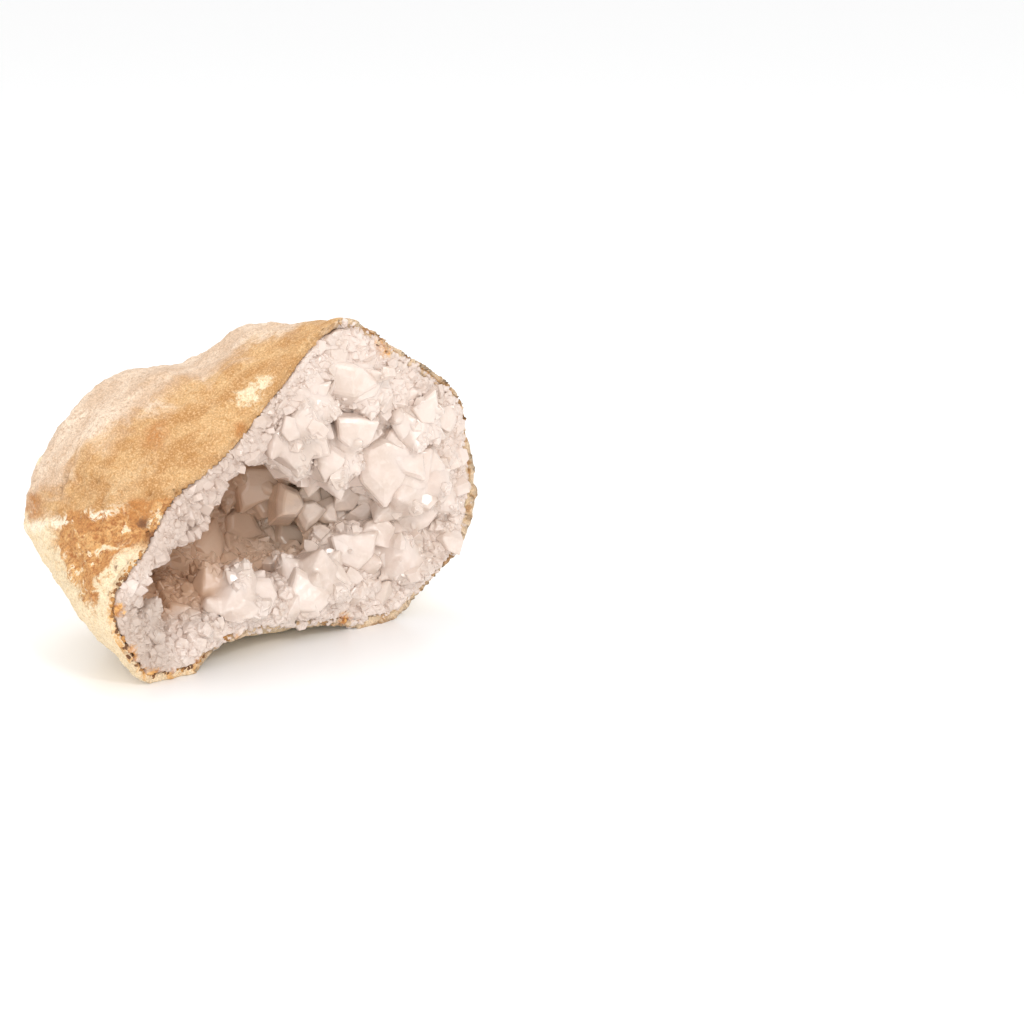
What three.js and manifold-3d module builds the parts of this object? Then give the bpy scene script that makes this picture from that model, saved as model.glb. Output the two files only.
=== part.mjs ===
// Half of a quartz geode, broken open by hand, standing on the worn foot of its rind.
// A weathered limestone rind holds a thick quartz lining, and clusters of quartz points
// grow from the lining into the hollow.
//
// The stone is modelled in the frame of its broken face, in millimetres:
//   x runs to the right along the face, y runs up the face, z points out of the hollow.
// A depth is a distance behind the face, so z is minus the depth.
// The last section stands the stone on its foot: +Z up, origin under the middle of its box.

import * as THREE from "three";
import { mergeVertices } from "three/addons/utils/BufferGeometryUtils.js";
import Module from "manifold-3d";

const wasm = await Module();
wasm.setup();

// ---- driving dimensions ----
const FACE_YAW = THREE.MathUtils.degToRad(42); // the broken face looks to the right of straight ahead
const FACE_LEAN = THREE.MathUtils.degToRad(4); // and leans forward over its foot
const FOOT_BELOW_CENTRE = 41; // from the centre of the face down to the surface it stands on
const STONE_DEPTH = 63; // from the broken face to the back of the rind
const RIND_THICKNESS = 2.2;
const SEAT_GAP = 0.3; // clearance between solids that touch
const FACETS_AROUND = 72; // round a section of the stone
const HOLLOW_FACETS_AROUND = 54;
const FRACTURE_WAVE = 1.3; // how far the break wanders from a flat plane
const SLAB_DEPTH = 60; // of the block that cuts the foot level

// Outline of the broken face, clockwise from its highest point.
const FACE_OUTLINE = [
  [16, 43.6],
  [23.5, 41.4],
  [33.5, 34],
  [45, 27],
  [53.5, 20.5],
  [60, 13],
  [62, 2],
  [63, -9],
  [59.5, -21],
  [52, -29],
  [43.5, -36.5],
  [32, -42.3],
  [14, -38],
  [-8, -35.2],
  [-23, -37],
  [-30.5, -42.6],
  [-41, -41.5],
  [-48, -34],
  [-54, -19],
  [-41.5, -3],
  [-31, 7.5],
  [-17, 17.5],
  [-1, 33],
];

// Sections of the outside, from in front of the break to the back. Each one blends
// from the outline of the face to an oval with its own centre and radii.
const OUTSIDE_SECTIONS = [
  { depth: -9, toOval: 0, centre: [0, 0], radii: [50, 37] },
  { depth: 0, toOval: 0, centre: [0, 0], radii: [50, 37] },
  { depth: 14, toOval: 0.45, centre: [1, -4], radii: [55, 40] },
  { depth: 30, toOval: 0.8, centre: [0, -7], radii: [50.5, 39] },
  { depth: 44, toOval: 1, centre: [-1, -8], radii: [45, 33] },
  { depth: 55, toOval: 1, centre: [-4, -6], radii: [34, 24] },
  { depth: 61, toOval: 1, centre: [-6, -3], radii: [19, 12] },
];
const OUTSIDE_POLE = { centre: [-6, -3], depth: STONE_DEPTH };

// Swellings and hollows of the rind: where, how wide, and how far they stand out.
const RIND_KNOBS = [
  { at: [8, 36, -24], reach: 9, out: 6 },
  { at: [-8, 30, -34], reach: 9, out: -3.5 },
  { at: [-24, 22, -46], reach: 13, out: 3.5 },
  { at: [-46, -6, -46], reach: 13, out: 3 },
  { at: [-44, -26, -14], reach: 12, out: 2.5 },
  { at: [2, -44, -34], reach: 20, out: 6 },
  { at: [20, -10, -62], reach: 18, out: -3 },
  { at: [57, 14, -10], reach: 9, out: 2 },
  { at: [44, 20, -30], reach: 13, out: 2.5 },
  { at: [50, -26, -26], reach: 14, out: 2 },
];

// Mouth of the hollow in the plane of the face, clockwise from its highest point.
const MOUTH_OUTLINE = [
  [14, 31],
  [26, 29.5],
  [37, 24],
  [47, 15],
  [53, 3],
  [55, -10],
  [51, -22],
  [42, -30.5],
  [29, -33],
  [13, -31],
  [-3, -29.5],
  [-18, -29.5],
  [-28, -32],
  [-38, -33],
  [-45, -26],
  [-44, -14.5],
  [-33, -6],
  [-17, 7],
  [-5, 18],
  [4, 26],
];

// Its throat, the narrowest place, point for point with the mouth. The walls between
// them slope in gently at the top and the right, and drop steeply at the left.
const THROAT_OUTLINE = [
  [4, 4],
  [13, 0],
  [22, -2],
  [31, -7],
  [39, -12],
  [45, -17],
  [41, -21],
  [32, -23],
  [22, -22],
  [13, -24],
  [2, -25.5],
  [-10, -25],
  [-24, -25],
  [-33, -30],
  [-41, -23],
  [-41, -15],
  [-31, -7],
  [-20, 3],
  [-11, 9],
  [-3, 7.5],
];

const HOLLOW_SECTIONS = [
  { depth: -16, outline: MOUTH_OUTLINE, toOval: 0, centre: [0, 0], radii: [50, 37] },
  { depth: 0, outline: MOUTH_OUTLINE, toOval: 0, centre: [0, 0], radii: [50, 37] },
  { depth: 9, outline: THROAT_OUTLINE, toOval: 0, centre: [0, -9], radii: [42, 18] },
  { depth: 19, outline: THROAT_OUTLINE, toOval: 0.7, centre: [4, -10], radii: [41, 19] },
  { depth: 30, outline: THROAT_OUTLINE, toOval: 1, centre: [11, -11], radii: [33, 17] },
  { depth: 38, outline: THROAT_OUTLINE, toOval: 1, centre: [15, -12], radii: [21, 11] },
];
const HOLLOW_POLE = { centre: [16, -12], depth: 42 };

// Clusters of quartz points. Each grows from its root in the wall towards "faces",
// and "size" is the reach of its middle crystal from the root.
const CLUSTERS = [
  { name: "crystals_roof", root: [5, 22, -11], faces: [2, 8, 2], size: 23, points: 12 },
  { name: "crystals_roof_edge", root: [21, 10, -14], faces: [16, 2, 0], size: 21, points: 11 },
  { name: "crystals_crown", root: [27, 28, -10], faces: [24, 20, 1], size: 19, points: 9 },
  { name: "crystals_right_shoulder", root: [46, 15, -11], faces: [40, 9, 1], size: 21, points: 9 },
  { name: "crystals_right_wall", root: [50, -6, -12], faces: [38, -6, -1], size: 23, points: 11 },
  { name: "crystals_floor_right", root: [43, -31, -9], faces: [38, -20, -1], size: 19, points: 9 },
  { name: "crystals_floor_ridge", root: [31, -29, -17], faces: [27, -16, -7], size: 20, points: 10 },
  { name: "crystals_floor_middle", root: [15, -33, -10], faces: [13, -20, -3], size: 19, points: 9 },
  { name: "crystals_floor_left", root: [-13, -34, -10], faces: [-11, -18, -3], size: 21, points: 11 },
  { name: "crystals_left_corner", root: [-45, -32, -8], faces: [-34, -20, -4], size: 16, points: 8 },
  { name: "crystals_back_wall", root: [18, -8, -47], faces: [16, -12, 0], size: 20, points: 10 },
];
const CRYSTAL_SPREAD = THREE.MathUtils.degToRad(58); // between a cluster's middle and outermost points
const CRYSTAL_SLIMNESS = 0.34; // radius of a crystal as a share of its length
const TIP_SLOPE = 1.27; // height of a quartz point over its radius
const GOLDEN_ANGLE = Math.PI * (3 - Math.sqrt(5));

// ---- closed meshes and solids ----
function solidFrom(geometry) {
  const bare = geometry.clone();
  bare.deleteAttribute("normal");
  bare.deleteAttribute("uv");
  const merged = mergeVertices(bare, 1e-4);
  return new wasm.Manifold(
    new wasm.Mesh({
      numProp: 3,
      vertProperties: new Float32Array(merged.attributes.position.array),
      triVerts: new Uint32Array(merged.index.array),
    }),
  );
}

function geometryFrom(solid) {
  const mesh = solid.getMesh();
  const points = new Float32Array(mesh.numVert * 3);
  for (let i = 0; i < mesh.numVert; i++) {
    const start = i * mesh.numProp;
    points.set(mesh.vertProperties.subarray(start, start + 3), i * 3);
  }
  const geometry = new THREE.BufferGeometry();
  geometry.setAttribute("position", new THREE.BufferAttribute(points, 3));
  geometry.setIndex(new THREE.BufferAttribute(mesh.triVerts, 1));
  geometry.computeVertexNormals();
  return geometry;
}

function largestPiece(solid) {
  return solid.decompose().reduce((best, piece) => (piece.volume() > best.volume() ? piece : best));
}

// Skins a stack of rings, each a list of points, and closes both ends on a point.
function skinned(rings, firstPole, lastPole) {
  const count = rings[0].length;
  const points = [...rings.flat(), firstPole, lastPole];
  const first = points.length - 2;
  const last = points.length - 1;
  const faces = [];
  for (let i = 0; i < count; i++) {
    const next = (i + 1) % count;
    faces.push(first, next, i);
    for (let ring = 0; ring + 1 < rings.length; ring++) {
      const a = ring * count;
      const b = a + count;
      faces.push(a + i, b + next, b + i, a + i, a + next, b + next);
    }
    const end = (rings.length - 1) * count;
    faces.push(last, end + i, end + next);
  }
  const geometry = new THREE.BufferGeometry();
  const numbers = points.flatMap((point) => [point.x, point.y, point.z]);
  geometry.setAttribute("position", new THREE.Float32BufferAttribute(numbers, 3));
  geometry.setIndex(faces);
  geometry.computeVertexNormals();
  return geometry;
}

// Moves every point of a closed geometry out along its normal.
function grown(geometry, distance) {
  const moved = geometry.clone();
  const position = moved.attributes.position;
  const normal = geometry.attributes.normal;
  for (let i = 0; i < position.count; i++) {
    position.setXYZ(
      i,
      position.getX(i) + normal.getX(i) * distance,
      position.getY(i) + normal.getY(i) * distance,
      position.getZ(i) + normal.getZ(i) * distance,
    );
  }
  return moved;
}

function closedCurve(outline) {
  const points = outline.map(([x, y]) => new THREE.Vector3(x, y, 0));
  return new THREE.CatmullRomCurve3(points, true, "centripetal");
}

function sectionRing(curve, section, count) {
  const ring = [];
  for (let i = 0; i < count; i++) {
    const onOutline = curve.getPoint(i / count);
    const angle = Math.atan2(onOutline.y + 3, onOutline.x);
    const onOval = new THREE.Vector3(
      section.centre[0] + section.radii[0] * Math.cos(angle),
      section.centre[1] + section.radii[1] * Math.sin(angle),
      0,
    );
    const point = onOutline.lerp(onOval, section.toOval);
    point.z = -section.depth;
    ring.push(point);
  }
  return ring;
}

// ---- the outside of the stone and the hollow inside it ----
function knobbed(point) {
  const outward = new THREE.Vector3(point.x, point.y, Math.min(point.z + 25, 0)).normalize();
  let out = 0;
  for (const knob of RIND_KNOBS) {
    const distance = point.distanceTo(new THREE.Vector3(...knob.at));
    out += knob.out * Math.exp(-((distance / knob.reach) ** 2));
  }
  return point.clone().addScaledVector(outward, out);
}

function polePoint(pole) {
  return new THREE.Vector3(pole.centre[0], pole.centre[1], -pole.depth);
}

const faceCurve = closedCurve(FACE_OUTLINE);
const outsideRings = OUTSIDE_SECTIONS.map((section) =>
  sectionRing(faceCurve, section, FACETS_AROUND).map(knobbed),
);
const inFront = new THREE.Vector3(0, 0, -OUTSIDE_SECTIONS[0].depth);
const outside = skinned(outsideRings, inFront, polePoint(OUTSIDE_POLE));

const hollowRings = HOLLOW_SECTIONS.map((section) =>
  sectionRing(closedCurve(section.outline), section, HOLLOW_FACETS_AROUND),
);
const beforeMouth = new THREE.Vector3(0, 0, -HOLLOW_SECTIONS[0].depth);
const hollow = skinned(hollowRings, beforeMouth, polePoint(HOLLOW_POLE));

// ---- the break, and the surface that the stone stands on ----
function fractureHeight(x, y) {
  const broad = Math.sin(x / 15 + 0.8) * Math.cos(y / 12 - 0.5);
  const fine = 0.45 * Math.sin(x / 5.3 - y / 7.1) + 0.35 * Math.cos(y / 4.7 + x / 9);
  return FRACTURE_WAVE * (broad + fine);
}

function brokenAway() {
  const block = new THREE.BoxGeometry(150, 120, 40, 30, 24, 1);
  block.translate(4, 0, 20);
  const position = block.attributes.position;
  for (let i = 0; i < position.count; i++) {
    if (position.getZ(i) < 1) {
      position.setZ(i, fractureHeight(position.getX(i), position.getY(i)));
    }
  }
  return solidFrom(block);
}

const standing = new THREE.Matrix4();
const alongFace = new THREE.Vector3(Math.cos(FACE_YAW), Math.sin(FACE_YAW), 0);
const outOfFace = new THREE.Vector3(
  Math.sin(FACE_YAW) * Math.cos(FACE_LEAN),
  -Math.cos(FACE_YAW) * Math.cos(FACE_LEAN),
  -Math.sin(FACE_LEAN),
);
const upFace = new THREE.Vector3().crossVectors(outOfFace, alongFace);
standing.makeBasis(alongFace, upFace, outOfFace);

// Everything lower than a height above the surface that the stone stands on.
function lowerThan(height) {
  const slab = new THREE.BoxGeometry(400, 400, SLAB_DEPTH);
  slab.translate(0, 0, height - FOOT_BELOW_CENTRE - SLAB_DEPTH / 2);
  slab.applyMatrix4(standing.clone().invert());
  return solidFrom(slab);
}

const inFrontOfBreak = brokenAway();

// ---- rind: the weathered limestone crust ----
const underRind = solidFrom(grown(outside, -RIND_THICKNESS)).subtract(lowerThan(RIND_THICKNESS));
const wholeRind = solidFrom(outside).subtract(underRind).subtract(lowerThan(0));
const rind = largestPiece(wholeRind.subtract(inFrontOfBreak));

// ---- quartz lining: the massive quartz between the rind and the hollow ----
const liningSeat = RIND_THICKNESS + SEAT_GAP;
const wholeLining = solidFrom(grown(outside, -liningSeat)).subtract(lowerThan(liningSeat));
const lining = largestPiece(wholeLining.subtract(solidFrom(hollow)).subtract(inFrontOfBreak));

// ---- clusters of quartz points ----
function crystal(root, direction, length, radius) {
  const tip = radius * TIP_SLOPE;
  const profile = [
    new THREE.Vector2(0, 0),
    new THREE.Vector2(radius, 0),
    new THREE.Vector2(radius, length - tip),
    new THREE.Vector2(0, length),
  ];
  const geometry = new THREE.LatheGeometry(profile, 6);
  const turn = new THREE.Quaternion().setFromUnitVectors(new THREE.Vector3(0, 1, 0), direction);
  geometry.applyQuaternion(turn);
  geometry.translate(root.x, root.y, root.z);
  return solidFrom(geometry);
}

// One stout crystal down the middle and the others fanned round it, all from one root.
function clusterSolid(cluster, extra) {
  const root = new THREE.Vector3(...cluster.root);
  const middle = new THREE.Vector3(...cluster.faces).sub(root).normalize();
  const sideways = new THREE.Vector3(0, 0, 1).cross(middle).normalize();
  let solid = null;
  for (let k = 0; k < cluster.points; k++) {
    const share = Math.sqrt(k / (cluster.points - 1));
    const direction = middle.clone();
    direction.applyAxisAngle(sideways, CRYSTAL_SPREAD * share);
    direction.applyAxisAngle(middle, GOLDEN_ANGLE * k);
    const length = cluster.size * (1 - 0.22 * share + 0.06 * Math.sin(5 * k));
    const radius = length * CRYSTAL_SLIMNESS * (1 + 0.12 * Math.cos(3 * k));
    const one = crystal(root, direction, length + extra, radius + extra);
    solid = solid ? solid.add(one) : one;
  }
  return solid;
}

const hollowSeat = solidFrom(grown(hollow, -SEAT_GAP));
const clusters = [];
for (const cluster of CLUSTERS) {
  let solid = clusterSolid(cluster, 0).intersect(hollowSeat).subtract(lining);
  for (const other of clusters) {
    solid = solid.subtract(other.keepOut);
  }
  solid = largestPiece(solid);
  clusters.push({ name: cluster.name, solid, keepOut: clusterSolid(cluster, SEAT_GAP) });
}

// ---- the stone, stood on its foot ----
const rindMaterial = new THREE.MeshStandardMaterial({ color: 0xd9a766, roughness: 0.9, metalness: 0 });
const liningMaterial = new THREE.MeshStandardMaterial({ color: 0xe9dfdb, roughness: 0.45, metalness: 0 });
const crystalMaterial = new THREE.MeshStandardMaterial({ color: 0xf1eae8, roughness: 0.2, metalness: 0 });

const geodeHalf = new THREE.Group();
function addPiece(name, solid, material) {
  const mesh = new THREE.Mesh(geometryFrom(solid), material);
  mesh.name = name;
  geodeHalf.add(mesh);
}

addPiece("rind", rind, rindMaterial);
addPiece("quartz_lining", lining, liningMaterial);
for (const cluster of clusters) {
  addPiece(cluster.name, cluster.solid, crystalMaterial);
}

geodeHalf.quaternion.setFromRotationMatrix(standing);
geodeHalf.updateMatrixWorld(true);
const box = new THREE.Box3().setFromObject(geodeHalf, true);
geodeHalf.position.set(-(box.min.x + box.max.x) / 2, -(box.min.y + box.max.y) / 2, FOOT_BELOW_CENTRE);

export default geodeHalf;
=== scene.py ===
import math

import bmesh
import bpy
import numpy as np
from mathutils import Matrix, Vector
from mathutils.bvhtree import BVHTree


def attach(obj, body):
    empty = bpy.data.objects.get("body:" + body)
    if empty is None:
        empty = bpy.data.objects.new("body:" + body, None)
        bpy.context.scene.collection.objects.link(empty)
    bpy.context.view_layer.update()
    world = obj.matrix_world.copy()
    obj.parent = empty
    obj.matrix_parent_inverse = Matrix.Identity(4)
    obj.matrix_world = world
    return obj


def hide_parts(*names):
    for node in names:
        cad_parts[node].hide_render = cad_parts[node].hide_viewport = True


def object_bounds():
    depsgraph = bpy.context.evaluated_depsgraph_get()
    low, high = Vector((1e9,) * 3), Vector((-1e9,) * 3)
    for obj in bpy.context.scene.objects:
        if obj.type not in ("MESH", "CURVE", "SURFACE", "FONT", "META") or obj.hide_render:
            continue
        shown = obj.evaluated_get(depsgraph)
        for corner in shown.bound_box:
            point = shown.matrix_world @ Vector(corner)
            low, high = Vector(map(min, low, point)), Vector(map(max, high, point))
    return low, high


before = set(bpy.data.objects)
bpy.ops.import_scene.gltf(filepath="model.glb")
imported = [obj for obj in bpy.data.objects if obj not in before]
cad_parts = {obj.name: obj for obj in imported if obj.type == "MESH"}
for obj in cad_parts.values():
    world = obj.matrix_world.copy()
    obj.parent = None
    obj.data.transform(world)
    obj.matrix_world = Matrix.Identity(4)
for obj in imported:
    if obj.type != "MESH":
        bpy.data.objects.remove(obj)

# ---- the geode half as it stands ----
# A geode the size of a fist, broken in two by hand: a limestone rind, a thick lining of
# milky quartz and a druse of quartz points in the hollow. It stands on the worn foot of its rind.
MM = 0.001
stone_low, stone_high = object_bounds()
stone_middle = (stone_low + stone_high) / 2


# ---- the table it stands on, the light and the camera ----
# A pale table under a white sky, a small bright light to the right that makes the quartz
# glint, one in front that shines into the hollow, two soft ones, and a long lens.
def material_named(name):
    """A new material: the material, its node tree and its Principled shader."""
    made = bpy.data.materials.new(name)
    made.use_nodes = True
    return made, made.node_tree, made.node_tree.nodes["Principled BSDF"]


bpy.ops.object.select_all(action="DESELECT")
bpy.ops.mesh.primitive_plane_add(size=6, location=(0, 0, 0))
table = bpy.context.object
table.name = "table"
table_material, tree, shader = material_named("pale_table")
shader.inputs["Base Color"].default_value = (0.95, 0.95, 0.95, 1)
shader.inputs["Roughness"].default_value = 0.3
table.data.materials.append(table_material)

sky = bpy.data.worlds.new("white_sky")
sky.use_nodes = True
sky.node_tree.nodes["Background"].inputs["Color"].default_value = (1, 1, 1, 1)
sky.node_tree.nodes["Background"].inputs["Strength"].default_value = 1.0
bpy.context.scene.world = sky
bpy.context.scene.view_settings.view_transform = "Standard"


def softbox(name, place, size, power):
    """A square light that looks at the middle of the stone."""
    lamp = bpy.data.lights.new(name, "AREA")
    lamp.size = size
    lamp.energy = power
    holder = bpy.data.objects.new(name, lamp)
    holder.location = place
    holder.rotation_euler = (stone_middle - Vector(place)).to_track_quat("-Z", "Y").to_euler()
    bpy.context.scene.collection.objects.link(holder)


softbox("light_right", (0.50, -0.75, 0.75), size=0.22, power=3.0)
softbox("light_front", (0.0, -1.0, 0.32), size=0.4, power=2.2)
softbox("light_left", (-0.8, -0.45, 0.5), size=0.25, power=1.5)
softbox("light_top", (-0.1, 0.35, 0.9), size=0.5, power=1.5)

camera_pitch = math.radians(15)
camera_distance = 725.2 * MM
camera_ahead = Vector((0, math.cos(camera_pitch), -math.sin(camera_pitch)))
camera_up = Vector((0, math.sin(camera_pitch), math.cos(camera_pitch)))
aim_right, aim_below = 66.1 * MM, 8.7 * MM
looked_at = stone_middle + Vector((aim_right, 0, 0)) - camera_up * aim_below
lens = bpy.data.cameras.new("camera")
lens.lens = 100
lens.sensor_width = 36
lens.clip_start = 0.01
camera = bpy.data.objects.new("camera", lens)
camera.location = looked_at - camera_ahead * camera_distance
camera.rotation_euler = camera_ahead.to_track_quat("-Z", "Y").to_euler()
bpy.context.scene.collection.objects.link(camera)
bpy.context.scene.camera = camera


# ---- the rind ----
# Two or three millimetres of weathered limestone, sandy to the touch. Iron has stained it
# ochre near the break and brown low on the left. Far back and high up it is painted paler and
# creamier: partly a paler, pinker stone, and partly painted light where its top is brightly lit.
# The broken face has a frame of its own: x along it to the right, y up it, z ahead of it.
face_yaw, face_lean = math.radians(42), math.radians(4)
face_centre = Vector((10.07, -13.74, 41)) * MM
along_face = Vector((math.cos(face_yaw), math.sin(face_yaw), 0))
out_of_face = Vector((
    math.sin(face_yaw) * math.cos(face_lean),
    -math.cos(face_yaw) * math.cos(face_lean),
    -math.sin(face_lean),
))
face_turn = Matrix((along_face, out_of_face.cross(along_face), out_of_face)).transposed()


def on_face(point):
    """Where a point is on the broken face: along it, up it and ahead of it, in millimetres."""
    return face_turn.transposed() @ (point - face_centre) / MM


def from_face(place):
    """The point at a place on the broken face given in millimetres."""
    return face_centre + face_turn @ Vector(place) * MM


def select_only(piece):
    bpy.ops.object.select_all(action="DESELECT")
    piece.select_set(True)
    bpy.context.view_layer.objects.active = piece


def working_copy(node, name):
    """A copy of a CAD node with its loose triangles merged into one skin."""
    piece = bpy.data.objects.new(name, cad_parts[node].data.copy())
    bpy.context.scene.collection.objects.link(piece)
    piece.data.materials.clear()
    select_only(piece)
    bpy.ops.object.mode_set(mode="EDIT")
    bpy.ops.mesh.select_all(action="SELECT")
    bpy.ops.mesh.remove_doubles(threshold=0.01 * MM)
    bpy.ops.object.mode_set(mode="OBJECT")
    return piece


def apply_modifier(piece, kind, **settings):
    """Adds a modifier, sets it and applies it."""
    select_only(piece)
    modifier = piece.modifiers.new(kind.lower(), kind)
    for name, value in settings.items():
        setattr(modifier, name, value)
    bpy.ops.object.modifier_apply(modifier=modifier.name)


def roughen(piece, pattern, size, height, group="", middle=0.5, **settings):
    """Moves the skin in and out by a height, in lumps of a size: from its middle, 0 to 1."""
    texture = bpy.data.textures.new(f"{piece.name}_{pattern.lower()}", pattern)
    texture.noise_scale = size
    for name, value in settings.items():
        setattr(texture, name, value)
    apply_modifier(
        piece, "DISPLACE", texture=texture, strength=height, mid_level=middle, texture_coords="LOCAL",
        vertex_group=group,
    )


rind = working_copy("rind", "limestone_rind")
apply_modifier(rind, "REMESH", mode="VOXEL", voxel_size=0.8 * MM)
outer_skin = rind.vertex_groups.new(name="outer_skin")
broken_edge = rind.vertex_groups.new(name="broken_edge")
brown_side = rind.vertex_groups.new(name="brown_side")
ridge_line = rind.vertex_groups.new(name="ridge_line")
ridge_slope, ridge_height, ridge_width = 0.38, 6, 2.2
middle_along, middle_height = 4, -3
stone_heart = face_centre - out_of_face * 22 * MM
for vertex in rind.data.vertices:
    outward = vertex.normal.dot((vertex.co - stone_heart).normalized())
    faces_out = outward > 0.25
    if faces_out:
        outer_skin.add([vertex.index], min(1, (outward - 0.25) * 3), "REPLACE")
    forward = vertex.normal.dot(out_of_face)
    along, height, ahead = on_face(vertex.co)
    round_face = math.degrees(math.atan2(height - middle_height, along - middle_along)) % 360
    if forward > 0.3 and ahead > -5:
        thin_even_edge = 75 < round_face < 229
        share = 0.3 if thin_even_edge else 1.0
        broken_edge.add([vertex.index], share * min(1, forward), "REPLACE")
    on_left = faces_out and along < -30
    if on_left and -20 < height < 6 and ahead > -32:
        brown_side.add([vertex.index], 1, "REPLACE")
    above_ridge = height - ridge_slope * ahead - ridge_height
    if on_left and -30 < ahead < -2 and abs(above_ridge) < 6:
        fading = min(1, (ahead + 30) / 12)
        ridge_line.add([vertex.index], fading * math.exp(-((above_ridge / ridge_width) ** 2)), "REPLACE")
roughen(rind, "CLOUDS", 4 * MM, -5 * MM, "broken_edge", middle=0, noise_depth=2)
roughen(rind, "CLOUDS", 15 * MM, 2.6 * MM, "outer_skin", noise_depth=2)
roughen(rind, "CLOUDS", 4.5 * MM, 1.3 * MM, "outer_skin", noise_depth=3)
roughen(rind, "CLOUDS", 6 * MM, 2.6 * MM, "brown_side", noise_depth=2, noise_type="HARD_NOISE")
roughen(rind, "CLOUDS", 5 * MM, 2.4 * MM, "ridge_line", middle=0, noise_depth=2)
roughen(rind, "CLOUDS", 1.6 * MM, 0.5 * MM, "outer_skin", noise_depth=1)
for vertex in rind.data.vertices:
    vertex.co.z = max(vertex.co.z, 0)
select_only(rind)
bpy.ops.object.shade_smooth()


def add_node(tree, kind, values=(), **settings):
    """A node with its properties set and its inputs filled with numbers or links."""
    made = tree.nodes.new(kind)
    for name, value in settings.items():
        setattr(made, name, value)
    for socket, value in dict(values).items():
        if isinstance(value, bpy.types.NodeSocket):
            tree.links.new(value, made.inputs[socket])
        else:
            made.inputs[socket].default_value = value
    return made


def place_on_face(tree):
    """Where a point is in the frame of the broken face, in metres."""
    place = add_node(tree, "ShaderNodeTexCoord")
    return add_node(
        tree, "ShaderNodeMapping",
        {"Vector": place.outputs["Object"], "Location": face_centre, "Rotation": face_turn.to_euler()},
        vector_type="TEXTURE",
    ).outputs["Vector"]


def step(tree, value, low, high, low_out=0.0, high_out=1.0):
    """A soft step from low_out to high_out as the value goes from low to high."""
    return add_node(
        tree, "ShaderNodeMapRange",
        {"Value": value, "From Min": low, "From Max": high, "To Min": low_out, "To Max": high_out},
        interpolation_type="SMOOTHSTEP",
    ).outputs["Result"]


def mixed(tree, share, first, second, blend="MIX"):
    """Two colours mixed by a share."""
    made = tree.nodes.new("ShaderNodeMix")
    made.data_type = "RGBA"
    made.blend_type = blend
    for socket, value in ((made.inputs[0], share), (made.inputs[6], first), (made.inputs[7], second)):
        if isinstance(value, bpy.types.NodeSocket):
            tree.links.new(value, socket)
        elif isinstance(value, tuple):
            socket.default_value = (*value, 1)
        else:
            socket.default_value = value
    return made.outputs[2]


def sum_of(tree, *values):
    total = values[0]
    for value in values[1:]:
        total = add_node(tree, "ShaderNodeMath", {0: total, 1: value}, operation="ADD").outputs[0]
    return total


def product_of(tree, *values):
    total = values[0]
    for value in values[1:]:
        total = add_node(tree, "ShaderNodeMath", {0: total, 1: value}, operation="MULTIPLY").outputs[0]
    return total


def noise(tree, place, size, detail=4.0, roughness=0.5, distortion=0.0):
    """Soft noise with lumps of a size in metres."""
    return add_node(
        tree, "ShaderNodeTexNoise",
        {"Vector": place, "Scale": 1 / size, "Detail": detail, "Roughness": roughness,
         "Distortion": distortion},
    ).outputs["Fac"]


def shared_effect(name, inputs, outputs):
    """An empty node group with its sockets: the group, its input sockets and its output sockets."""
    group = bpy.data.node_groups.new(name, "ShaderNodeTree")
    for socket, kind in inputs:
        group.interface.new_socket(name=socket, in_out="INPUT", socket_type=kind)
    for socket, kind in outputs:
        group.interface.new_socket(name=socket, in_out="OUTPUT", socket_type=kind)
    return group, group.nodes.new("NodeGroupInput").outputs, group.nodes.new("NodeGroupOutput").inputs


# Iron stain: a ragged spot round a place on the stone, used on the rind and on the quartz.
iron_stain, given, put_out = shared_effect(
    "iron_stain",
    (("Place", "NodeSocketVector"), ("Centre", "NodeSocketVector"), ("Reach", "NodeSocketFloat")),
    (("Mask", "NodeSocketFloat"),),
)
away = add_node(
    iron_stain, "ShaderNodeVectorMath", {0: given["Place"], 1: given["Centre"]}, operation="DISTANCE"
).outputs["Value"]
in_reaches = add_node(iron_stain, "ShaderNodeMath", {0: away, 1: given["Reach"]}, operation="DIVIDE")
ragged = noise(iron_stain, given["Place"], 2.6 * MM, 5, 0.75)
edge = sum_of(iron_stain, in_reaches.outputs[0], product_of(iron_stain, ragged, 2.4))
iron_stain.links.new(step(iron_stain, edge, 2.2, 1.5), put_out["Mask"])


def stains(tree, place, spots):
    """One mask of all the stains: where each one is on the face, in millimetres, and its reach."""
    total = 0.0
    for *centre, reach in spots:
        spot = add_node(tree, "ShaderNodeGroup", node_tree=iron_stain)
        tree.links.new(place, spot.inputs["Place"])
        spot.inputs["Centre"].default_value = Vector(centre) * MM
        spot.inputs["Reach"].default_value = reach * MM
        total = sum_of(tree, spot.outputs["Mask"], total)
    return total


rind_material, tree, shader = material_named("weathered_limestone")
place = place_on_face(tree)
apart = add_node(tree, "ShaderNodeSeparateXYZ", {0: place})
along, height, ahead = apart.outputs["X"], apart.outputs["Y"], apart.outputs["Z"]
streak_place = add_node(
    tree, "ShaderNodeMapping",
    {"Vector": place, "Rotation": (0, 0, math.radians(-42)), "Scale": (0.25, 1, 1)},
).outputs["Vector"]
streaks = noise(tree, streak_place, 7 * MM, 5, 0.6, 0.4)
blotches = noise(tree, place, 14 * MM, 5, 0.6, 0.6)
flakes = noise(tree, place, 5 * MM, 5, 0.7, 0.8)
grain = noise(tree, place, 1.3 * MM, 4, 0.75)
sand = noise(tree, place, 0.45 * MM, 2, 0.6)
wander = step(tree, blotches, 0.3, 0.7, -6 * MM, 6 * MM)
fray = step(tree, flakes, 0.3, 0.7, -4 * MM, 4 * MM)
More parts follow.
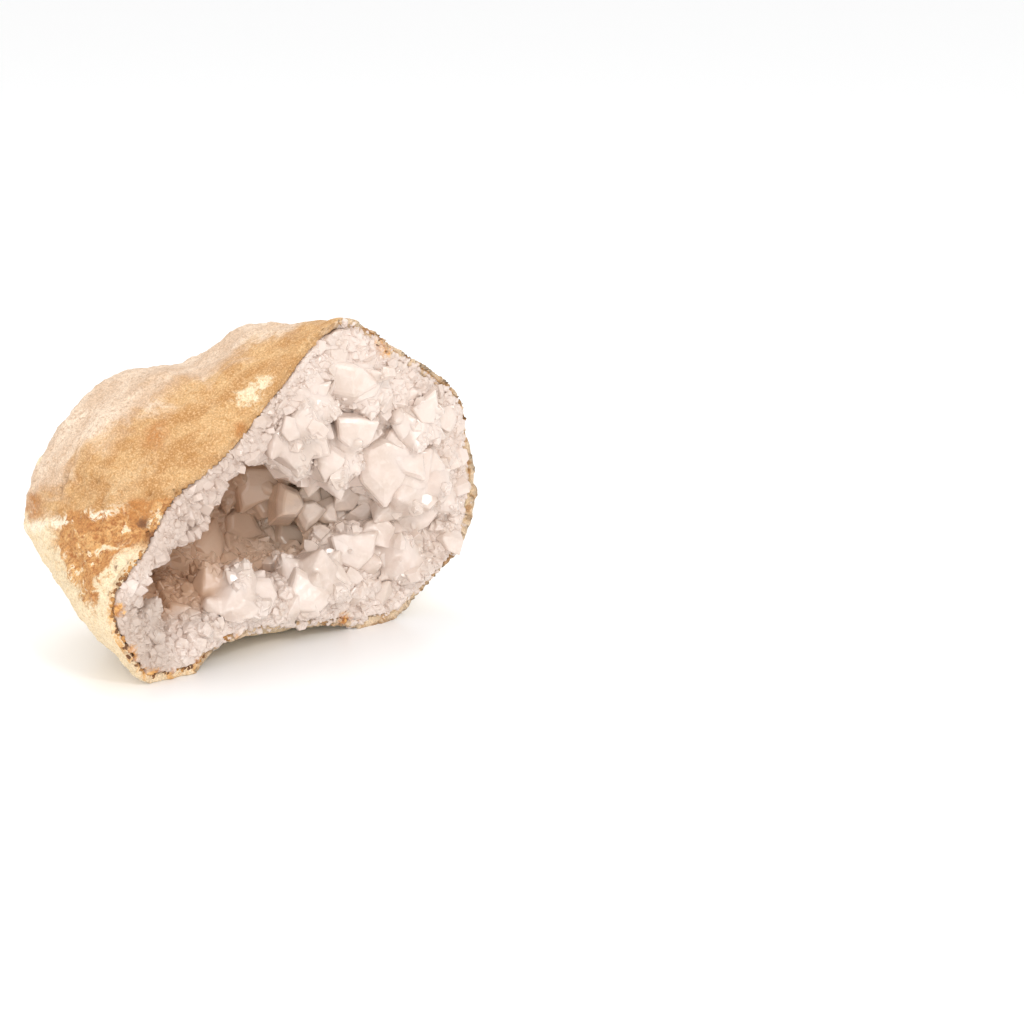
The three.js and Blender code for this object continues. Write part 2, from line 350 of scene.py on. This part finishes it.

# The four colours of the weathered stone.
# The pale colour far back is partly the stone's own and partly painted light on the brightly lit top.
pale_and_lit = mixed(tree, step(tree, streaks, 0.35, 0.65), (0.64, 0.46, 0.32), (0.80, 0.63, 0.48))
pale_and_lit = mixed(tree, step(tree, grain, 0.47, 0.68), pale_and_lit, (0.54, 0.37, 0.25))
ochre = mixed(tree, step(tree, streaks, 0.38, 0.62), (0.48, 0.24, 0.08), (0.63, 0.38, 0.17))
ochre = mixed(tree, step(tree, blotches, 0.5, 0.8), ochre, (0.68, 0.46, 0.25))
ochre = mixed(tree, step(tree, grain, 0.48, 0.70, 0.0, 0.8), ochre, (0.50, 0.25, 0.08))
ochre = mixed(tree, step(tree, sand, 0.50, 0.75, 0.0, 0.5), ochre, (0.76, 0.54, 0.32))
brown = mixed(tree, step(tree, flakes, 0.4, 0.65), (0.56, 0.26, 0.08), (0.74, 0.44, 0.18))
brown = mixed(tree, step(tree, grain, 0.45, 0.62), brown, (0.40, 0.16, 0.05))
cream = mixed(tree, step(tree, grain, 0.45, 0.7), (0.84, 0.68, 0.46), (0.74, 0.54, 0.31))

# Where each lies: paler far back and high up, partly painted light on the brightly lit top,
# brown under the ridge on the left, cream low down and in a strip by the break, ochre
# elsewhere. Then the flakes, the rust and the cracks.
# Painted light in part: the rind is painted paler the further back and the higher up it lies.
far_back_and_up = sum_of(tree, ahead, product_of(tree, height, -0.55), wander)
colour = mixed(tree, step(tree, far_back_and_up, -28 * MM, -43 * MM), ochre, pale_and_lit)
ridge = sum_of(tree, height, product_of(tree, ahead, -ridge_slope), product_of(tree, fray, 0.5))
left_side = step(tree, along, -14 * MM, -22 * MM)
below_ridge = product_of(tree, step(tree, ridge, 6.5 * MM, 5 * MM), left_side)
near_break = step(tree, sum_of(tree, ahead, fray), -33 * MM, -28 * MM)
colour = mixed(tree, product_of(tree, below_ridge, near_break), colour, brown)
colour = mixed(tree, product_of(tree, below_ridge, step(tree, ahead, -27 * MM, -34 * MM)), colour, cream)
far_back = step(tree, ahead, -28 * MM, -42 * MM, 0.0, 2.0)
low_down = step(
    tree, sum_of(tree, height, product_of(tree, ahead, 0.44), fray, product_of(tree, wander, far_back)),
    -23 * MM, -27 * MM,
)
colour = mixed(tree, low_down, colour, cream)
by_the_edge = product_of(
    tree, step(tree, sum_of(tree, ahead, fray), -8 * MM, -4 * MM), step(tree, height, -4 * MM, -8 * MM),
)
colour = mixed(tree, by_the_edge, colour, cream)
on_ridge = product_of(
    tree, step(tree, ridge, 3.5 * MM, 5 * MM), step(tree, ridge, 8 * MM, 6 * MM),
    step(tree, flakes, 0.46, 0.52), step(tree, ahead, -8 * MM, -13 * MM), left_side,
)
colour = mixed(tree, on_ridge, colour, (0.90, 0.76, 0.58))
flaked = product_of(tree, below_ridge, step(tree, flakes, 0.60, 0.64))
colour = mixed(tree, flaked, colour, (0.86, 0.68, 0.46))
colour = mixed(tree, stains(tree, place, ((-9.2, 26.5, -4.4, 4.5), (-5, 29, -3, 3.0))), colour, cream)
rust = stains(tree, place, (
    (-30.6, 17.3, -14.2, 5), (-15.1, 19.5, -0.4, 3), (-48.5, -4.8, -41, 6), (-41, 1.5, -6, 5),
    (-40, -5.6, -0.6, 4), (33, 33, 0, 9), (27, 38, -3, 6), (19.9, -38.8, 0, 5), (-51, -20, 0, 3),
))
rust = product_of(tree, rust, step(tree, grain, 0.3, 0.55, 0.25, 0.9))
colour = mixed(tree, rust, colour, (0.46, 0.19, 0.05))
cracks = stains(tree, place, (
    (-40, -4.5, -0.8, 3), (-49.6, -9.2, -4.6, 1.3), (-48.6, -11.0, -4.0, 1.2), (-41, -0.5, -4, 2.2),
))
colour = mixed(tree, cracks, colour, (0.20, 0.08, 0.03))

# The fresh colours of the broken edge.
surface = add_node(tree, "ShaderNodeTexCoord")
forward = add_node(
    tree, "ShaderNodeVectorMath", {0: surface.outputs["Normal"], 1: out_of_face}, operation="DOT_PRODUCT"
).outputs["Value"]
stained_edge = sum_of(tree, step(tree, along, 8 * MM, 16 * MM), step(tree, height, -12 * MM, -18 * MM))
broken = product_of(
    tree, step(tree, forward, 0.45, 0.75), step(tree, ahead, -7 * MM, -3 * MM), stained_edge,
)
fresh = mixed(tree, step(tree, flakes, 0.38, 0.58), (0.46, 0.26, 0.12), (0.74, 0.56, 0.38))
creamy = mixed(tree, step(tree, flakes, 0.45, 0.62), (0.84, 0.66, 0.44), (0.72, 0.40, 0.15))
fresh = mixed(tree, step(tree, along, -24 * MM, -30 * MM), fresh, creamy)
colour = mixed(tree, broken, colour, fresh)
speckles = step(tree, sand, 0.3, 0.7, 0.8, 1.12)
speckled = add_node(tree, "ShaderNodeCombineColor", {0: speckles, 1: speckles, 2: speckles}).outputs[0]
colour = mixed(tree, 1.0, colour, speckled, "MULTIPLY")
tree.links.new(colour, shader.inputs["Base Color"])
tree.links.new(step(tree, grain, 0.3, 0.7, 0.7, 0.95), shader.inputs["Roughness"])
relief = sum_of(tree, product_of(tree, grain, 0.5 * MM), product_of(tree, sand, 0.2 * MM))
bump = add_node(tree, "ShaderNodeBump", {"Height": relief, "Distance": 1.0, "Strength": 0.8})
tree.links.new(bump.outputs["Normal"], shader.inputs["Normal"])
rind.data.materials.append(rind_material)
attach(rind, "root")
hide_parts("rind")


# ---- the quartz lining ----
# Massive milky quartz, 5 to 20 mm thick. Along the rim it is broken through, and shows
# coarse sugary grains; inside, it is the bed that the points grow on.
def skin_to_measure_from(mesh):
    """A mesh's skin, ready to be asked how near it is."""
    corners = [vertex.co.copy() for vertex in mesh.vertices]
    return BVHTree.FromPolygons(corners, [tuple(face.vertices) for face in mesh.polygons])


lining = working_copy("quartz_lining", "quartz_lining_bed")
apply_modifier(lining, "REMESH", mode="VOXEL", voxel_size=0.8 * MM)
rind_side = skin_to_measure_from(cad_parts["rind"].data)
open_side = lining.vertex_groups.new(name="open_side")
for vertex in lining.data.vertices:
    gap = rind_side.find_nearest(vertex.co)[3]
    share = min(1, max(0, (gap / MM - 0.8) / 2))
    if vertex.normal.dot(out_of_face) > 0.5:
        share = max(share, 0.35)
    if share > 0:
        open_side.add([vertex.index], share, "REPLACE")
roughen(lining, "CLOUDS", 10 * MM, 3.5 * MM, "open_side", noise_depth=1)
roughen(lining, "VORONOI", 3.2 * MM, 1.6 * MM, "open_side", noise_intensity=1)
roughen(lining, "VORONOI", 1.3 * MM, 0.5 * MM, "open_side", noise_intensity=1)

# Milky quartz, shared by the bed, the points and the grains: cloudy, with painted shade that makes it
# darker and browner deeper in the hollow and at its low end, and greyer in the granular corner and
# along the band on the left.
milky_quartz, given, put_out = shared_effect(
    "milky_quartz",
    (("Place", "NodeSocketVector"), ("Milk", "NodeSocketColor"), ("Shade", "NodeSocketColor"),
     ("Deep_Shade", "NodeSocketColor"), ("Stain", "NodeSocketFloat"), ("Smoothest", "NodeSocketFloat")),
    (("Color", "NodeSocketColor"), ("Roughness", "NodeSocketFloat"), ("Height", "NodeSocketFloat")),
)
group = milky_quartz
umber_shade = (0.54, 0.34, 0.22)
apart = add_node(group, "ShaderNodeSeparateXYZ", {0: given["Place"]})
along, height, ahead = apart.outputs["X"], apart.outputs["Y"], apart.outputs["Z"]
cloud = noise(group, given["Place"], 9 * MM, 4, 0.6)
veins = noise(group, given["Place"], 2.4 * MM, 5, 0.65, 0.5)
milk = mixed(group, step(group, cloud, 0.38, 0.66), given["Milk"], given["Shade"])
milk = mixed(group, step(group, veins, 0.45, 0.72, 0.0, 0.6), milk, (0.80, 0.70, 0.63))
# Painted shade of the hollow: the deeper a place lies, and the further left, the more it takes the shade
# colours, umber on the left and a paler brown on the right.
left_shade_shift = step(group, along, 5 * MM, -25 * MM, 0.0, -9 * MM)
shade_depth = sum_of(group, ahead, left_shade_shift, step(group, cloud, 0.3, 0.7, -4 * MM, 4 * MM))
painted_hollow_shade = mixed(group, step(group, along, 0, -18 * MM), given["Deep_Shade"], umber_shade)
painted_hollow_shade = mixed(group, step(group, along, 8 * MM, 28 * MM), painted_hollow_shade, (0.92, 0.76, 0.62))
deep = mixed(group, step(group, shade_depth, -9 * MM, -26 * MM), milk, painted_hollow_shade)
corner = product_of(
    group, step(group, along, -30 * MM, -42 * MM), step(group, height, -12 * MM, -22 * MM),
)
deep = mixed(group, product_of(group, corner, 0.7), deep, (0.47, 0.36, 0.29))
band = product_of(
    group, step(group, along, 14 * MM, -18 * MM), step(group, height, -15 * MM, -8 * MM),
    step(group, ahead, -9 * MM, -5 * MM),
)
deep = mixed(group, product_of(group, band, 0.8), deep, (0.56, 0.44, 0.37))
# More painted shade, in umber, round the low end of the floor of the hollow.
floor_end = Vector((-22, -21, -14)) * MM
from_floor_end = add_node(
    group, "ShaderNodeVectorMath", {0: given["Place"], 1: floor_end}, operation="DISTANCE"
).outputs["Value"]
low_end_shade = step(group, from_floor_end, 13 * MM, 8 * MM)
deep = mixed(group, product_of(group, low_end_shade, 0.8), deep, umber_shade)
rusty = mixed(group, step(group, veins, 0.4, 0.6), (0.78, 0.42, 0.12), (0.42, 0.16, 0.04))
stained = mixed(group, given["Stain"], deep, rusty)
group.links.new(stained, put_out["Color"])
group.links.new(
    sum_of(group, given["Smoothest"], step(group, veins, 0.3, 0.7, 0.0, 0.2)), put_out["Roughness"]
)
group.links.new(product_of(group, veins, 0.12 * MM), put_out["Height"])


def quartz(name, milk, shade, smoothest, glow):
    """Milky quartz: its two clouds, how smooth its faces are, and how far light soaks in."""
    made, tree, shader = material_named(name)
    place = place_on_face(tree)
    look = add_node(tree, "ShaderNodeGroup", node_tree=milky_quartz)
    tree.links.new(place, look.inputs["Place"])
    look.inputs["Milk"].default_value = (*milk, 1)
    look.inputs["Shade"].default_value = (*shade, 1)
    # The painted shade colour deep in the hollow.
    look.inputs["Deep_Shade"].default_value = (0.78, 0.57, 0.42, 1)
    look.inputs["Smoothest"].default_value = smoothest
    tree.links.new(stains(tree, place, (
        (19.9, -38.8, 0, 4), (-47.5, -31, 0, 3), (-42, -38.5, 0, 4), (-35, -42, 0, 4),
        (-27.4, -38.9, 1, 3), (-14, -36, 0, 3), (31, 35, 0, 4), (-51, -20, 0, 2.5),
    )), look.inputs["Stain"])
    tree.links.new(look.outputs["Color"], shader.inputs["Base Color"])
    tree.links.new(look.outputs["Roughness"], shader.inputs["Roughness"])
    shader.inputs["IOR"].default_value = 1.544
    shader.inputs["Subsurface Weight"].default_value = glow
    shader.inputs["Subsurface Radius"].default_value = (1.0, 0.9, 0.8)
    shader.inputs["Subsurface Scale"].default_value = 1.5 * MM
    bump = add_node(tree, "ShaderNodeBump", {"Height": look.outputs["Height"], "Distance": 1.0})
    tree.links.new(bump.outputs["Normal"], shader.inputs["Normal"])
    return made


lining.data.materials.append(
    quartz("massive_milky_quartz", (0.74, 0.62, 0.55), (0.66, 0.54, 0.46), smoothest=0.35, glow=0.12)
)
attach(lining, "root")
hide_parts("quartz_lining")


# ---- the druse in the hollow ----
# Quartz points stand side by side all over the hollow, from a centimetre across down to 2 mm.
# Each is a six-sided prism with a blunt, uneven pyramid on it, and grows from deep in the bed.
def quartz_point(name, tip_height, tip_shift, tip_size, lowered, taper, uneven=0.12):
    """One point, one unit in radius: how high its pyramid is, how far aside and how wide its
    tip, how far every other shoulder is lowered, how much the prism narrows, how uneven it is.
    """
    prism = 1.2
    bpy.ops.object.select_all(action="DESELECT")
    bpy.ops.mesh.primitive_cylinder_add(vertices=6, radius=1, depth=prism, location=(0, 0, prism / 2))
    point = bpy.context.object
    bpy.ops.object.mode_set(mode="EDIT")
    bpy.ops.mesh.select_mode(type="FACE")
    bpy.ops.mesh.select_all(action="DESELECT")
    skin = bmesh.from_edit_mesh(point.data)
    for corner in skin.verts:
        angle = math.atan2(corner.co.y, corner.co.x)
        corner.co.xy *= 1 + uneven * math.sin(2 * angle + len(name)) + uneven * math.sin(3 * angle + 0.5)
    for face in skin.faces:
        face.select_set(face.normal.z > 0.9)
    bmesh.update_edit_mesh(point.data)
    bpy.ops.transform.resize(value=(taper, taper, 1))
    bpy.ops.mesh.extrude_region_move(TRANSFORM_OT_translate={"value": (*tip_shift, tip_height)})
    bpy.ops.transform.resize(value=(*tip_size, 1))
    bpy.ops.mesh.select_mode(type="VERT")
    bpy.ops.mesh.select_all(action="DESELECT")
    skin = bmesh.from_edit_mesh(point.data)
    shoulder = [corner for corner in skin.verts if abs(corner.co.z - prism) < 0.1]
    shoulder.sort(key=lambda corner: math.atan2(corner.co.y, corner.co.x))
    for corner in shoulder[::2]:
        corner.select_set(True)
    bmesh.update_edit_mesh(point.data)
    bpy.ops.transform.translate(value=(0, 0, -lowered))
    bpy.ops.object.mode_set(mode="OBJECT")
    apply_modifier(
        point, "BEVEL", width=0.07, segments=1, limit_method="ANGLE", angle_limit=math.radians(20)
    )
    shape = point.data
    shape.name = name
    bpy.data.objects.remove(point)
    return shape


point_shapes = [
    quartz_point("blunt_point", 0.8, (0.05, 0.1), (0.12, 0.28), 0.35, 0.94),
    quartz_point("sharp_point", 1.1, (-0.08, 0.05), (0.05, 0.08), 0.25, 0.92),
    quartz_point("leaning_point", 0.9, (0.28, -0.15), (0.12, 0.10), 0.5, 0.96),
    quartz_point("chisel_point", 0.75, (0.0, 0.15), (0.16, 0.60), 0.2, 0.95),
    quartz_point("stub_point", 0.5, (-0.1, -0.1), (0.38, 0.32), 0.4, 0.97),
]
broad_shapes = [
    quartz_point("broad_face", 0.3, (0.16, -0.08), (0.62, 0.70), 0.16, 0.9, 0.16),
    quartz_point("split_broad_face", 0.35, (-0.2, 0.12), (0.45, 0.72), 0.3, 0.88, 0.2),
]


def skin_of(piece):
    """The piece's triangles: corners, normals, areas, places on the face, and facings there."""
    piece.data.calc_loop_triangles()
    corners = np.empty(len(piece.data.vertices) * 3)
    piece.data.vertices.foreach_get("co", corners)
    index = np.empty(len(piece.data.loop_triangles) * 3, np.int32)
    piece.data.loop_triangles.foreach_get("vertices", index)
    triangles = corners.reshape(-1, 3)[index.reshape(-1, 3)]
    cross = np.cross(triangles[:, 1] - triangles[:, 0], triangles[:, 2] - triangles[:, 0])
    twice_area = np.linalg.norm(cross, axis=1)
    normals = cross / np.maximum(twice_area, 1e-12)[:, None]
    places = (triangles.mean(axis=1) - np.array(face_centre)) @ np.array(face_turn) / MM
    return triangles, normals, twice_area / 2, places, normals @ np.array(face_turn)


def gaps_to(side, skin):
    """How far each triangle of a skin is from another piece's side, in millimetres."""
    middles = skin[0].mean(axis=1)
    return np.array([side.find_nearest(Vector(middle))[3] for middle in middles]) / MM


def seats_on(skin, wanted, spacing, taken, chance):
    """Places on the wanted triangles, a spacing apart, and out of reach of the crystals there."""
    tries_for_a_seat = 6
    triangles, normals, areas = (part[wanted] for part in skin[:3])
    count = int(areas.sum() / spacing**2 * tries_for_a_seat)
    chosen = chance.choice(len(areas), count, p=areas / areas.sum())
    share = chance.random((count, 2))
    flip = share.sum(axis=1) > 1
    share[flip] = 1 - share[flip]
    corner = triangles[chosen]
    spots = (corner[:, 0] + share[:, :1] * (corner[:, 1] - corner[:, 0])
             + share[:, 1:] * (corner[:, 2] - corner[:, 0]))
    free = np.ones(count, bool)
    for spot, reach in taken:
        free &= ((spots - spot) ** 2).sum(axis=1) > reach**2
    grid = {}
    seats = []
    for spot, normal in zip(spots[free], normals[chosen][free]):
        cell = tuple((spot // spacing).astype(int))
        near = (
            other
            for dx in (-1, 0, 1) for dy in (-1, 0, 1) for dz in (-1, 0, 1)
            for other in grid.get((cell[0] + dx, cell[1] + dy, cell[2] + dz), ())
        )
        if all(((spot - other) ** 2).sum() > spacing**2 for other in near):
            grid.setdefault(cell, []).append(spot)
            seats.append((spot, normal))
    return seats


def comes_through(shape, slack):
    """True if a corner of a crystal is further outside the rind, or its outline, than a slack."""
    behind_edge = -2
    for corner in shape.vertices:
        along, height, ahead = on_face(corner.co)
        spot = from_face((along, height, min(ahead, behind_edge)))
        outward = face_turn @ Vector((along - middle_along, height - middle_height, 0))
        if rind_side.ray_cast(spot, outward)[0] is None and rind_side.find_nearest(spot)[3] > slack:
            return True
    return False


def set_crystal(crystals, shape, tip, facing, size, spin, stretch, over_edge=False):
    """Adds a copy of a shape with its tip at a place: its radius, and how wide and how tall it is.
    A crystal that would come through the rind is left out. Over its edge it may hang a little.
    """
    turn = facing.to_track_quat("Z", "Y").to_matrix().to_4x4()
    if over_edge:
        stretch = (stretch[0], stretch[1] * 0.6)
    scale = Matrix.Diagonal((size, size * stretch[0], size * stretch[1], 1))
    height = max(corner.co.z for corner in shape.vertices)
    down = Matrix.Translation((0, 0, -height * size * stretch[1]))
    copy = shape.copy()
    copy.transform(Matrix.Translation(tip) @ turn @ down @ Matrix.Rotation(spin, 4, "Z") @ scale)
    slack = 0.7 if over_edge else 0.1
    fits = not comes_through(copy, slack * MM)
    if fits:
        crystals.from_mesh(copy)
    bpy.data.meshes.remove(copy)
    return fits


def set_on_face(crystals, shape, place, facing, size, spin, stretch):
    """Sets a crystal whose place, facing and size are given on the face, in millimetres."""
    turned = (face_turn @ Vector(facing)).normalized()
    set_crystal(crystals, shape, from_face(place), turned, size * MM, spin, stretch)


def grow(crystals, skin, wanted, taken, chance, spacing, radius, shown, tilt,
         room_over=1.0, over_edge=False):
    """Sets crystals side by side on the wanted triangles: how far apart they are and their
    radius, in millimetres, how many radii of each show, and how far it may tilt. Where the
    rind is near a crystal shrinks, so that its root goes in no further than room_over.
    """
    for spot, normal in seats_on(skin, wanted, spacing * MM, taken, chance):
        room = rind_side.find_nearest(Vector(spot))[3] + room_over * MM
        size = radius * MM * (0.65 + 0.7 * chance.random())
        tall = 0.85 + 0.3 * chance.random()
        above = shown * (0.7 + 0.6 * chance.random())
        size = min(size, room / (2 * tall - above))
        tipped = (Vector(normal) + Vector(chance.normal(size=3)) * tilt).normalized()
        shape = point_shapes[chance.integers(len(point_shapes))]
        wide = 0.75 + 0.5 * chance.random()
        spin = chance.random() * math.tau
        tip = Vector(spot) + tipped * size * above
        if set_crystal(crystals, shape, tip, tipped, size, spin, (wide, tall), over_edge):
            taken.append((spot, size * 0.7))


def piece_from(crystals, name, material):
    """One piece of all the crystals, levelled where they reach the table."""
    for corner in crystals.verts:
        corner.co.z = max(corner.co.z, 0)
    mesh = bpy.data.meshes.new(name)
    crystals.to_mesh(mesh)
    crystals.free()
    piece = bpy.data.objects.new(name, mesh)
    bpy.context.scene.collection.objects.link(piece)
    mesh.materials.append(material)
    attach(piece, "root")
    return piece


point_material = quartz(
    "milky_quartz_points", (0.75, 0.63, 0.56), (0.67, 0.55, 0.47), smoothest=0.06, glow=0.12
)
lining_skin = skin_of(lining)
places, facings = lining_skin[3:]
gaps = gaps_to(rind_side, lining_skin)
in_hollow = (places[:, 2] < 3) & (gaps > 1.8) & ~((facings[:, 2] > 0.9) & (places[:, 2] > -3))
clear_of_band = in_hollow & ((places[:, 2] < -7) | (places[:, 0] > 0))
granular_corner = (places[:, 0] < -28) & (places[:, 1] < -16)
chance = np.random.default_rng(7)
taken = []

# The large points at the right end of the hollow: where each is on the face, its facing there
# and its radius, in millimetres.
set_by_hand = (
    ((29.5, -8.5, -13), (-0.5, 0.3, 0.8), 5.5), ((33.5, -14, -11), (-0.5, 0.4, 0.75), 5.0),
    ((36, -15, -18), (-0.6, 0.3, 0.7), 6.0), ((16, -9, -19), (-0.3, 0.5, 0.8), 5.5),
    ((23, -9, -20), (-0.4, 0.4, 0.8), 5.5), ((28, -11, -21), (-0.5, 0.4, 0.75), 5.5),
    ((19, -3, -24), (-0.4, 0.0, 0.9), 5.5), ((20, -12.5, -16), (-0.5, 0.4, 0.75), 4.5),
    ((25.5, -13, -16), (-0.5, 0.4, 0.75), 4.5),
)
for name, spacing, radius, shown, tilt, wanted in (
    ("druse_great_points", 8.0, 5.0, 0.3, 0.12, clear_of_band & ~granular_corner),
    ("druse_large_points", 4.6, 3.2, 0.35, 0.18, clear_of_band & ~granular_corner),
    ("druse_middling_points", 2.9, 1.9, 0.45, 0.25, in_hollow & ~granular_corner),
    ("druse_small_points", 1.9, 1.1, 0.6, 0.35, in_hollow),
):
    crystals = bmesh.new()
    for place, facing, size in set_by_hand:
        shape = broad_shapes[chance.integers(2)]
        set_on_face(crystals, shape, place, facing, size, chance.random() * math.tau, (0.9, 1.3))
    set_by_hand = ()
    grow(crystals, lining_skin, wanted, taken, chance, spacing, radius, shown, tilt)
    piece_from(crystals, name, point_material)


# ---- the sugary grains of the broken rim ----
# Where the lining is broken through, its quartz is a mass of blocky grains. On the right, at
# the bottom and at the top they stand out over the edge of the rind and hide most of it.
grain_material = quartz(
    "sugary_quartz", (0.75, 0.63, 0.56), (0.66, 0.54, 0.47), smoothest=0.2, glow=0.12
)
on_break = (places[:, 2] > -4) & (facings[:, 2] > 0.5)
crystals = bmesh.new()
taken = []
right_part = places[:, 0] > 8
for spacing, radius, shown, wanted in (
    (4.2, 2.8, 0.2, on_break & right_part & (gaps > 4)), (2.4, 1.6, 0.4, on_break & ~granular_corner),
    (1.4, 0.95, 0.5, on_break),
):
    grow(crystals, lining_skin, wanted, taken, chance, spacing, radius, shown, tilt=0.4, room_over=1.8)
jagged_edge = (
    (places[:, 2] > -3.5) & (abs(facings[:, 2] - 0.25) < 0.4) & (gaps > 2.5) & (places[:, 0] < 8)
)
for spacing, radius, shown in ((3.6, 1.9, 0.9), (1.9, 1.2, 1.0)):
    grow(crystals, lining_skin, jagged_edge, taken, chance, spacing, radius, shown, tilt=0.5,
         room_over=2.5)

# Where a chip has come off the band above the hollow: coarser grains, each at its own place.
for place, size in (
    ((-24.2, -4.6, -0.6), 1.8), ((-25.6, -6.2, -0.8), 1.9), ((-28.0, -6.6, -0.8), 2.0),
    ((-30.8, -7.4, -1.0), 1.9), ((-23.4, -2.8, -0.8), 1.6),
):
    shape = point_shapes[chance.integers(5)]
    set_on_face(crystals, shape, place, (0.2, -0.3, 0.9), size, chance.random() * math.tau, (1.0, 1.0))
piece_from(crystals, "broken_rim_grains", grain_material)

rind_edge = skin_of(rind)
places, facings = rind_edge[3:]
from_lining = gaps_to(skin_to_measure_from(lining.data), rind_edge)
round_face = np.degrees(np.arctan2(places[:, 1] - middle_height, places[:, 0] - middle_along)) % 360
hidden_edge = (
    (places[:, 2] > -7) & (facings[:, 2] > 0.45) & (from_lining < 1.4)
    & ((round_face < 74) | (round_face > 232))
)
crystals = bmesh.new()
taken = []
for spacing, radius, shown in ((2.2, 1.4, 0.2), (1.3, 0.9, 0.35)):
    grow(crystals, rind_edge, hidden_edge, taken, chance, spacing, radius, shown, tilt=0.25,
         room_over=4.0, over_edge=True)
piece_from(crystals, "rim_edge_grains", grain_material)


# ---- the rusty crust in the seam ----
# Low on the left, water has left a thin line of iron crust in the seam between the quartz and
# the rind: small rusty grains, dark brown to orange.
seam_material, tree, shader = material_named("rusty_seam")
place = place_on_face(tree)
seam_colour = mixed(
    tree, step(tree, noise(tree, place, 4 * MM), 0.42, 0.62), (0.16, 0.07, 0.03), (0.50, 0.24, 0.07)
)
tree.links.new(seam_colour, shader.inputs["Base Color"])
shader.inputs["Roughness"].default_value = 0.85
seam = (
    (places[:, 2] > -4) & (facings[:, 2] > 0.2) & (from_lining < 0.9)
    & (round_face > 184) & (round_face < 236)
)
crystals = bmesh.new()
grow(crystals, rind_edge, seam, [], chance, spacing=0.75, radius=0.6, shown=0.15, tilt=0.5,
     room_over=4.0, over_edge=True)
piece_from(crystals, "rusty_seam_crust", seam_material)


# ---- the clusters ----
# Here and there the points stand together on a boss of quartz, with broad smooth faces
# and a crust of small points between them.

# Where each broad face is on the broken face, its facing there and its radius, in millimetres.
broad_faces = {
    "crystals_right_wall": (
        ((31.5, 1.5, 0), (-0.5, 0.15, 0.84), 10.0), ((37, -1.5, 1.5), (-0.38, 0.02, 0.92), 10.0),
        ((37, 6, 2), (-0.3, 0.3, 0.9), 8.5), ((44, -14, -1), (-0.5, 0.1, 0.8), 7.0),
        ((45, -2, 2.5), (-0.35, 0.1, 0.92), 7.0), ((43.3, -7.4, 3.3), (-0.41, 0.52, 0.75), 3.4),
    ),
    "crystals_crown": (
        ((22, 27, 2.0), (-0.3, 0.25, 0.9), 6.5), ((30, 29, 1), (-0.3, -0.1, 0.9), 7.0),
    ),
    "crystals_right_shoulder": (
        ((42, 17, 4), (-0.4, 0.2, 0.9), 5.0), ((49, 13, 2), (-0.3, 0.3, 0.9), 5.0),
        ((36, 13, 1), (-0.6, 0.1, 0.7), 4.5),
    ),
    "crystals_roof": (
        ((-1, 18.5, 4), (-0.4, 0.1, 0.9), 4.5), ((7, 26, 2), (-0.4, 0.3, 0.9), 4.5),
        ((5, 12, 3), (-0.5, -0.2, 0.8), 5.0),
    ),
    "crystals_roof_edge": (
        ((19, 14, 3), (-0.5, 0, 0.85), 6.0), ((12, 6, 1), (-0.5, -0.2, 0.8), 5.0),
    ),
    "crystals_floor_left": (
        ((-17, -27, 1.5), (-0.3, 0.3, 0.9), 8.0), ((-8, -24, 0), (-0.2, 0.5, 0.85), 6.0),
        ((-15.2, -19.2, -2.0), (-0.35, 0.54, 0.77), 2.4),
    ),
    "crystals_floor_middle": (
        ((8, -27, 0), (-0.3, 0.5, 0.8), 6.5), ((16, -24, -2), (-0.4, 0.6, 0.7), 6.0),
        ((18, -20, -5.5), (-0.36, 0.53, 0.77), 1.6),
    ),
    "crystals_floor_right": (
        ((38, -24, 0), (-0.4, 0.4, 0.8), 6.5), ((38, -16, -6), (-0.4, 0.6, 0.7), 5.5),
    ),
    "crystals_floor_ridge": (
        ((26, -20, -4), (-0.4, 0.4, 0.8), 7.0), ((33, -17, -4), (-0.5, 0.4, 0.8), 6.0),
    ),
    "crystals_back_wall": (
        ((14, -9, -31), (-0.5, 0.1, 0.9), 7.0), ((20, -14, -32), (-0.3, 0.3, 0.9), 6.0),
        ((14, -20, -36), (-0.1, 0.3, 0.9), 6.5), ((2, -22, -33), (0.1, 0.4, 0.9), 7.0),
        ((-14, -22, -27), (0.3, 0.5, 0.8), 6.0), ((26, -24, -30), (-0.3, 0.5, 0.8), 5.5),
    ),
}
chance = np.random.default_rng(3)
clusters = sorted(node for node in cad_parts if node.startswith("crystals_"))
for node in clusters:
    boss = working_copy(node, f"{node}_boss")
    apply_modifier(boss, "REMESH", mode="VOXEL", voxel_size=0.6 * MM)
    granular = node == "crystals_left_corner"
    smoothings = 30 if granular else 4
    apply_modifier(boss, "SMOOTH", factor=0.5, iterations=smoothings)
    boss_skin = skin_of(boss)
    along, height, ahead = boss_skin[3].T
    crusted = np.sin(along / 3.1) + np.sin(height / 2.6 + 1) + np.sin(ahead / 3.3) > 0
    crystals = bmesh.new()
    crystals.from_mesh(boss.data)
    taken = []
    for place, facing, size in broad_faces.get(node, ()):
        shape = broad_shapes[chance.integers(2)]
        spin = chance.random() * math.tau
        wide = 0.75 + 0.3 * chance.random()
        set_on_face(crystals, shape, place, facing, size, spin, (wide, 0.5))
        taken.append((np.array(from_face(place)), size * 0.75 * MM))
    crusted |= granular
    crust = ((1.5, 1.0, 0.4),) if granular else ((3.0, 1.9, 0.3), (1.8, 1.1, 0.4))
    for spacing, radius, shown in crust:
        grow(crystals, boss_skin, crusted, taken, chance, spacing, radius, shown, tilt=0.3)
    bpy.data.objects.remove(boss)
    cluster = piece_from(crystals, f"{node}_points", point_material)
    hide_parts(node)
